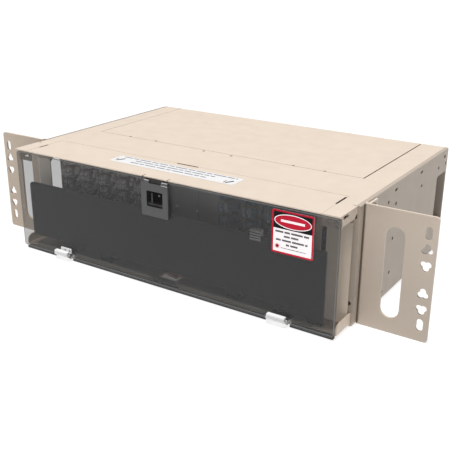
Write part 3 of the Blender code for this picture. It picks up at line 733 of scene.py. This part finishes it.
def make_hardware():
    # painted shade: a dark strip in the gap at each ear's root
    for side, name in SIDES:
        left, right, front, _, low, high = box_in_millimetres("ear_" + name)
        root = min(left, right, key=abs)
        seam = sorted((root - side * 0.2, root + side * 1.0))
        box = (*seam, front - 0.8, front - 0.05, low + 0.6, high - 0.6)
        dark_strip("ear_seam_" + name, "seam", box, FULL_BEVEL)
    bm = bmesh.new()
    for x, z in ((0.0, 86.6), (28.0, 86.2)):
        disc(bm, (x, depth(36.7), z), (0, -1, 0), 1.7, 0.9, dome=0.2)
    piece("plate_screws", mesh_from(bm, "plate_screws"), "chassis", "clip")
    make_dark_lines()
    # painted highlight: lighter lines along the guard's top and right edges
    left, right, front, _, low, high = box_in_millimetres("jumper_guard")
    sheet = (front + 0.1, front + GUARD_SHEET - 0.1)
    top = (left + 5.5, right - 0.4, *sheet, high + 0.05, high + 0.5)
    dark_strip("guard_top_edge", "edge_highlight", top, FULL_BEVEL)
    end = (right + 0.05, right + 0.6, *sheet, low + 0.7, high - 0.1)
    dark_strip("guard_side_edge", "edge_highlight", end, FULL_BEVEL)
    # partly painted: the acrylic's edge, with its light and dark lines painted as an even grey band
    bm = bmesh.new()
    left, right, front, _, low, high = box_in_millimetres("door")
    outer = rounded(left + 0.05, right - 0.05, low + 0.05, high - 0.05, 3.0)
    inner = rounded(left + 0.95, right - 0.95, low + 0.95, high - 0.95, 2.2)
    loop_solid(bm, outer, across_y, depth(front - 0.01) * MM, depth(front - 0.05) * MM, [inner])
    piece("door_edge", mesh_from(bm, "door_edge"), "door", "edge")


WALL_HOLES = (
    (211.2, 103.2),
    (110.7, 111.8),
    (132.8, 104.5),
    (293.7, 110.8),
    (268.0, 110.8),
    (131.0, 65.3),
    (129.5, 25.9),
    (112.1, 8.8),
)
WALL_HOLE_RADIUS = 2.02
FLANGE_CORNER = ((31.6, 117.2), (36.7, 120.8), (36.7, 115.8))


def make_dark_lines():
    """Painted shade: dark backs behind the wall's small holes, under the cover's gap, along the top's left
    bend, below the door and in the flanges' slots and corners.
    """
    # painted shade: dark discs behind the wall's small holes stand for the shade inside
    for side, name in SIDES:
        bm = bmesh.new()
        outside = box_in_millimetres("side_wall_right")[1]
        near, far = sorted((side * (outside - 1.3), side * (outside - 0.8)))
        for yf, z in WALL_HOLES:
            outline = ellipse(depth(yf), z, WALL_HOLE_RADIUS, WALL_HOLE_RADIUS, 16)
            loop_solid(bm, outline, across_x, near * MM, far * MM)
        piece("wall_hole_backs_" + name, mesh_from(bm, "backs"), "chassis", "shadow_line")
    # painted shade: a dark strip under the rear cover's right gap
    _, right, front, _, _, high = box_in_millimetres("rear_cover")
    gap = (right + 0.1, right + 1.5, front + 0.8, front + 166.8, high - 1.7, high - 1.1)
    dark_strip("cover_gap_back", "seam", gap)
    # painted shade: a dark line along the bend at the top's left edge
    left, _, front, back, _, high = box_in_millimetres("side_wall_left")
    edge = (left + 0.2, left + 1.2, front + 1.7, back - 2.7, high - 0.8, high + 0.02)
    strip("top_left_edge", "chassis", "seam", edge)
    # painted shade: grey and black strips below the door's bottom edge and across the floor's notch
    for i, (left, right) in enumerate(((-211.0, -161.8), (-133.0, 138.4), (166.6, 214.4))):
        dark_strip(f"door_bottom_shade_{i}", "grey_shade", (left, right, 0.4, 5.0, 1.7, 3.2))
        dark_strip(f"door_bottom_shadow_line_{i}", "shadow_line", (left, right, 0.4, 5.0, 0.6, 1.68))
    dark_strip("notch_shade", "shadow_line", (-4.4, 22.8, 5.05, 7.7, 0.6, 3.0))
    # painted shade: dark strips behind the top flanges' slots and in the gap at each flange's cut corner
    for side, name in SIDES:
        near, far = sorted((side * 213.7, side * 214.2))
        dark_strip("flange_slot_back_" + name, "shadow_line", (near, far, 4.4, 16.8, 124.2, 127.4))
        bm = bmesh.new()
        near, far = sorted((side * 214.5, side * 215.4))
        loop_solid(bm, [(depth(yf), z) for yf, z in FLANGE_CORNER], across_x, near * MM, far * MM)
        piece("flange_corner_" + name, mesh_from(bm, "corner"), "chassis", "shadow_line")


def box_in_millimetres(node):
    """A node's left, right, front, back, low and high, its depths behind the door's face."""
    low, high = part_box(node)
    return (
        low.x / MM,
        high.x / MM,
        low.y / MM + DOOR_FACE,
        high.y / MM + DOOR_FACE,
        low.z / MM,
        high.z / MM,
    )


def make_latch_details():
    # painted highlight: pale strips on the bezel's shoulders and a pale line near its top
    left, right, front, _, _, high = box_in_millimetres("latch_bezel")
    for i, ends in enumerate(((left + 4.2, left + 10.4), (right - 8.5, right - 1.2))):
        shoulder = (*ends, front + 0.4, front + 1.6, high + 0.02, high + 0.3)
        strip(f"latch_shoulder_highlight_{i}", "door", "latch_highlight", shoulder)
    line = (right - 8.3, right - 0.3, front - 0.3, front + 0.05, high - 3.1, high - 2.6)
    strip("latch_top_highlight", "door", "latch_highlight", line)
    left, right, front, _, low, high = box_in_millimetres("latch_pad")
    # painted highlight: a small lighter dot on the pad
    dot = (right - 4.0, right - 1.9, front - 0.2, front + 0.7, high - 3.4, high - 1.5)
    strip("latch_glint_dot", "latch", "bezel", dot)
    rib = (left + 7.0, left + 9.0, front - 0.15, front + 0.7, low + 0.8, high - 0.8)
    strip("latch_grey_rib", "latch", "rib", rib)


def make_clip_grooves():
    left, right, front, _, low, _ = box_in_millimetres("guard_clip")
    # painted shade: dark lines across the clip stand for the shade in its grooves
    for i in range(3):
        z = low + 2.75 * (i + 1)
        groove = (left + 0.3, right - 0.3, front - 0.1, front + 0.1, z - 0.4, z + 0.4)
        strip(f"clip_groove_{i}", "chassis", "grey_shade", groove)


# ---------------------------------------------------------------- the nodes' own skins


def make_skins():
    for node in "base_pan top_frame bulkhead front_floor front_top_cover rear_cover".split():
        refined(node, "beige")
    refined("rear_panel", "beige_wall")
    for _, side in SIDES:
        refined("side_wall_" + side, "beige_wall")
        refined("jumper_guide_" + side, "beige_guide_" + side)
        refined("ear_" + side, "beige_ear_" + side)
    refined("door", "smoked", 0.0006, 3)
    refined("jumper_guard", "black_gloss", 0.0004)
    for node in ("splice_tray", "spool_left", "spool_right"):
        refined(node, "black", MOULDED_BEVEL)
    refined("latch_pad", "pad", SMALL_BEVEL)
    refined("latch_tongue", "tongue", SMALL_BEVEL)
    for node in ("hinge_clip_left", "hinge_clip_right", "guard_clip"):
        refined(node, "clip", MOULDED_BEVEL)
    make_clip_grooves()
    refined("latch_bezel", "bezel", MOULDED_BEVEL, 3)
    refined("floor_block", "red", 0.0004)
    refined("floor_liner", "liner", SMALL_BEVEL)
    for node in sorted(NODES):
        if node.startswith(("ear_screw", "hinge_leaf", "hinge_pin", "rear_screw")):
            refined(node, "steel", SMALL_BEVEL)
    for _, side in SIDES:
        refined("cable_clamp_" + side, "zinc")
    for i in PLATE_NUMBERS:
        paint = "blank" if i in BLANK_PLATES else "plate"
        refined(f"adapter_plate_{i:02d}", paint, MOULDED_BEVEL)
    refined("top_label", "white_film", FILM_BEVEL)
    refined("hazard_label", "label_film", FILM_BEVEL)


make_camera()
PAINT = make_materials()
make_stage()
make_skins()
make_door_label()
make_top_label()
make_adapters()
make_hardware()
make_latch_details()
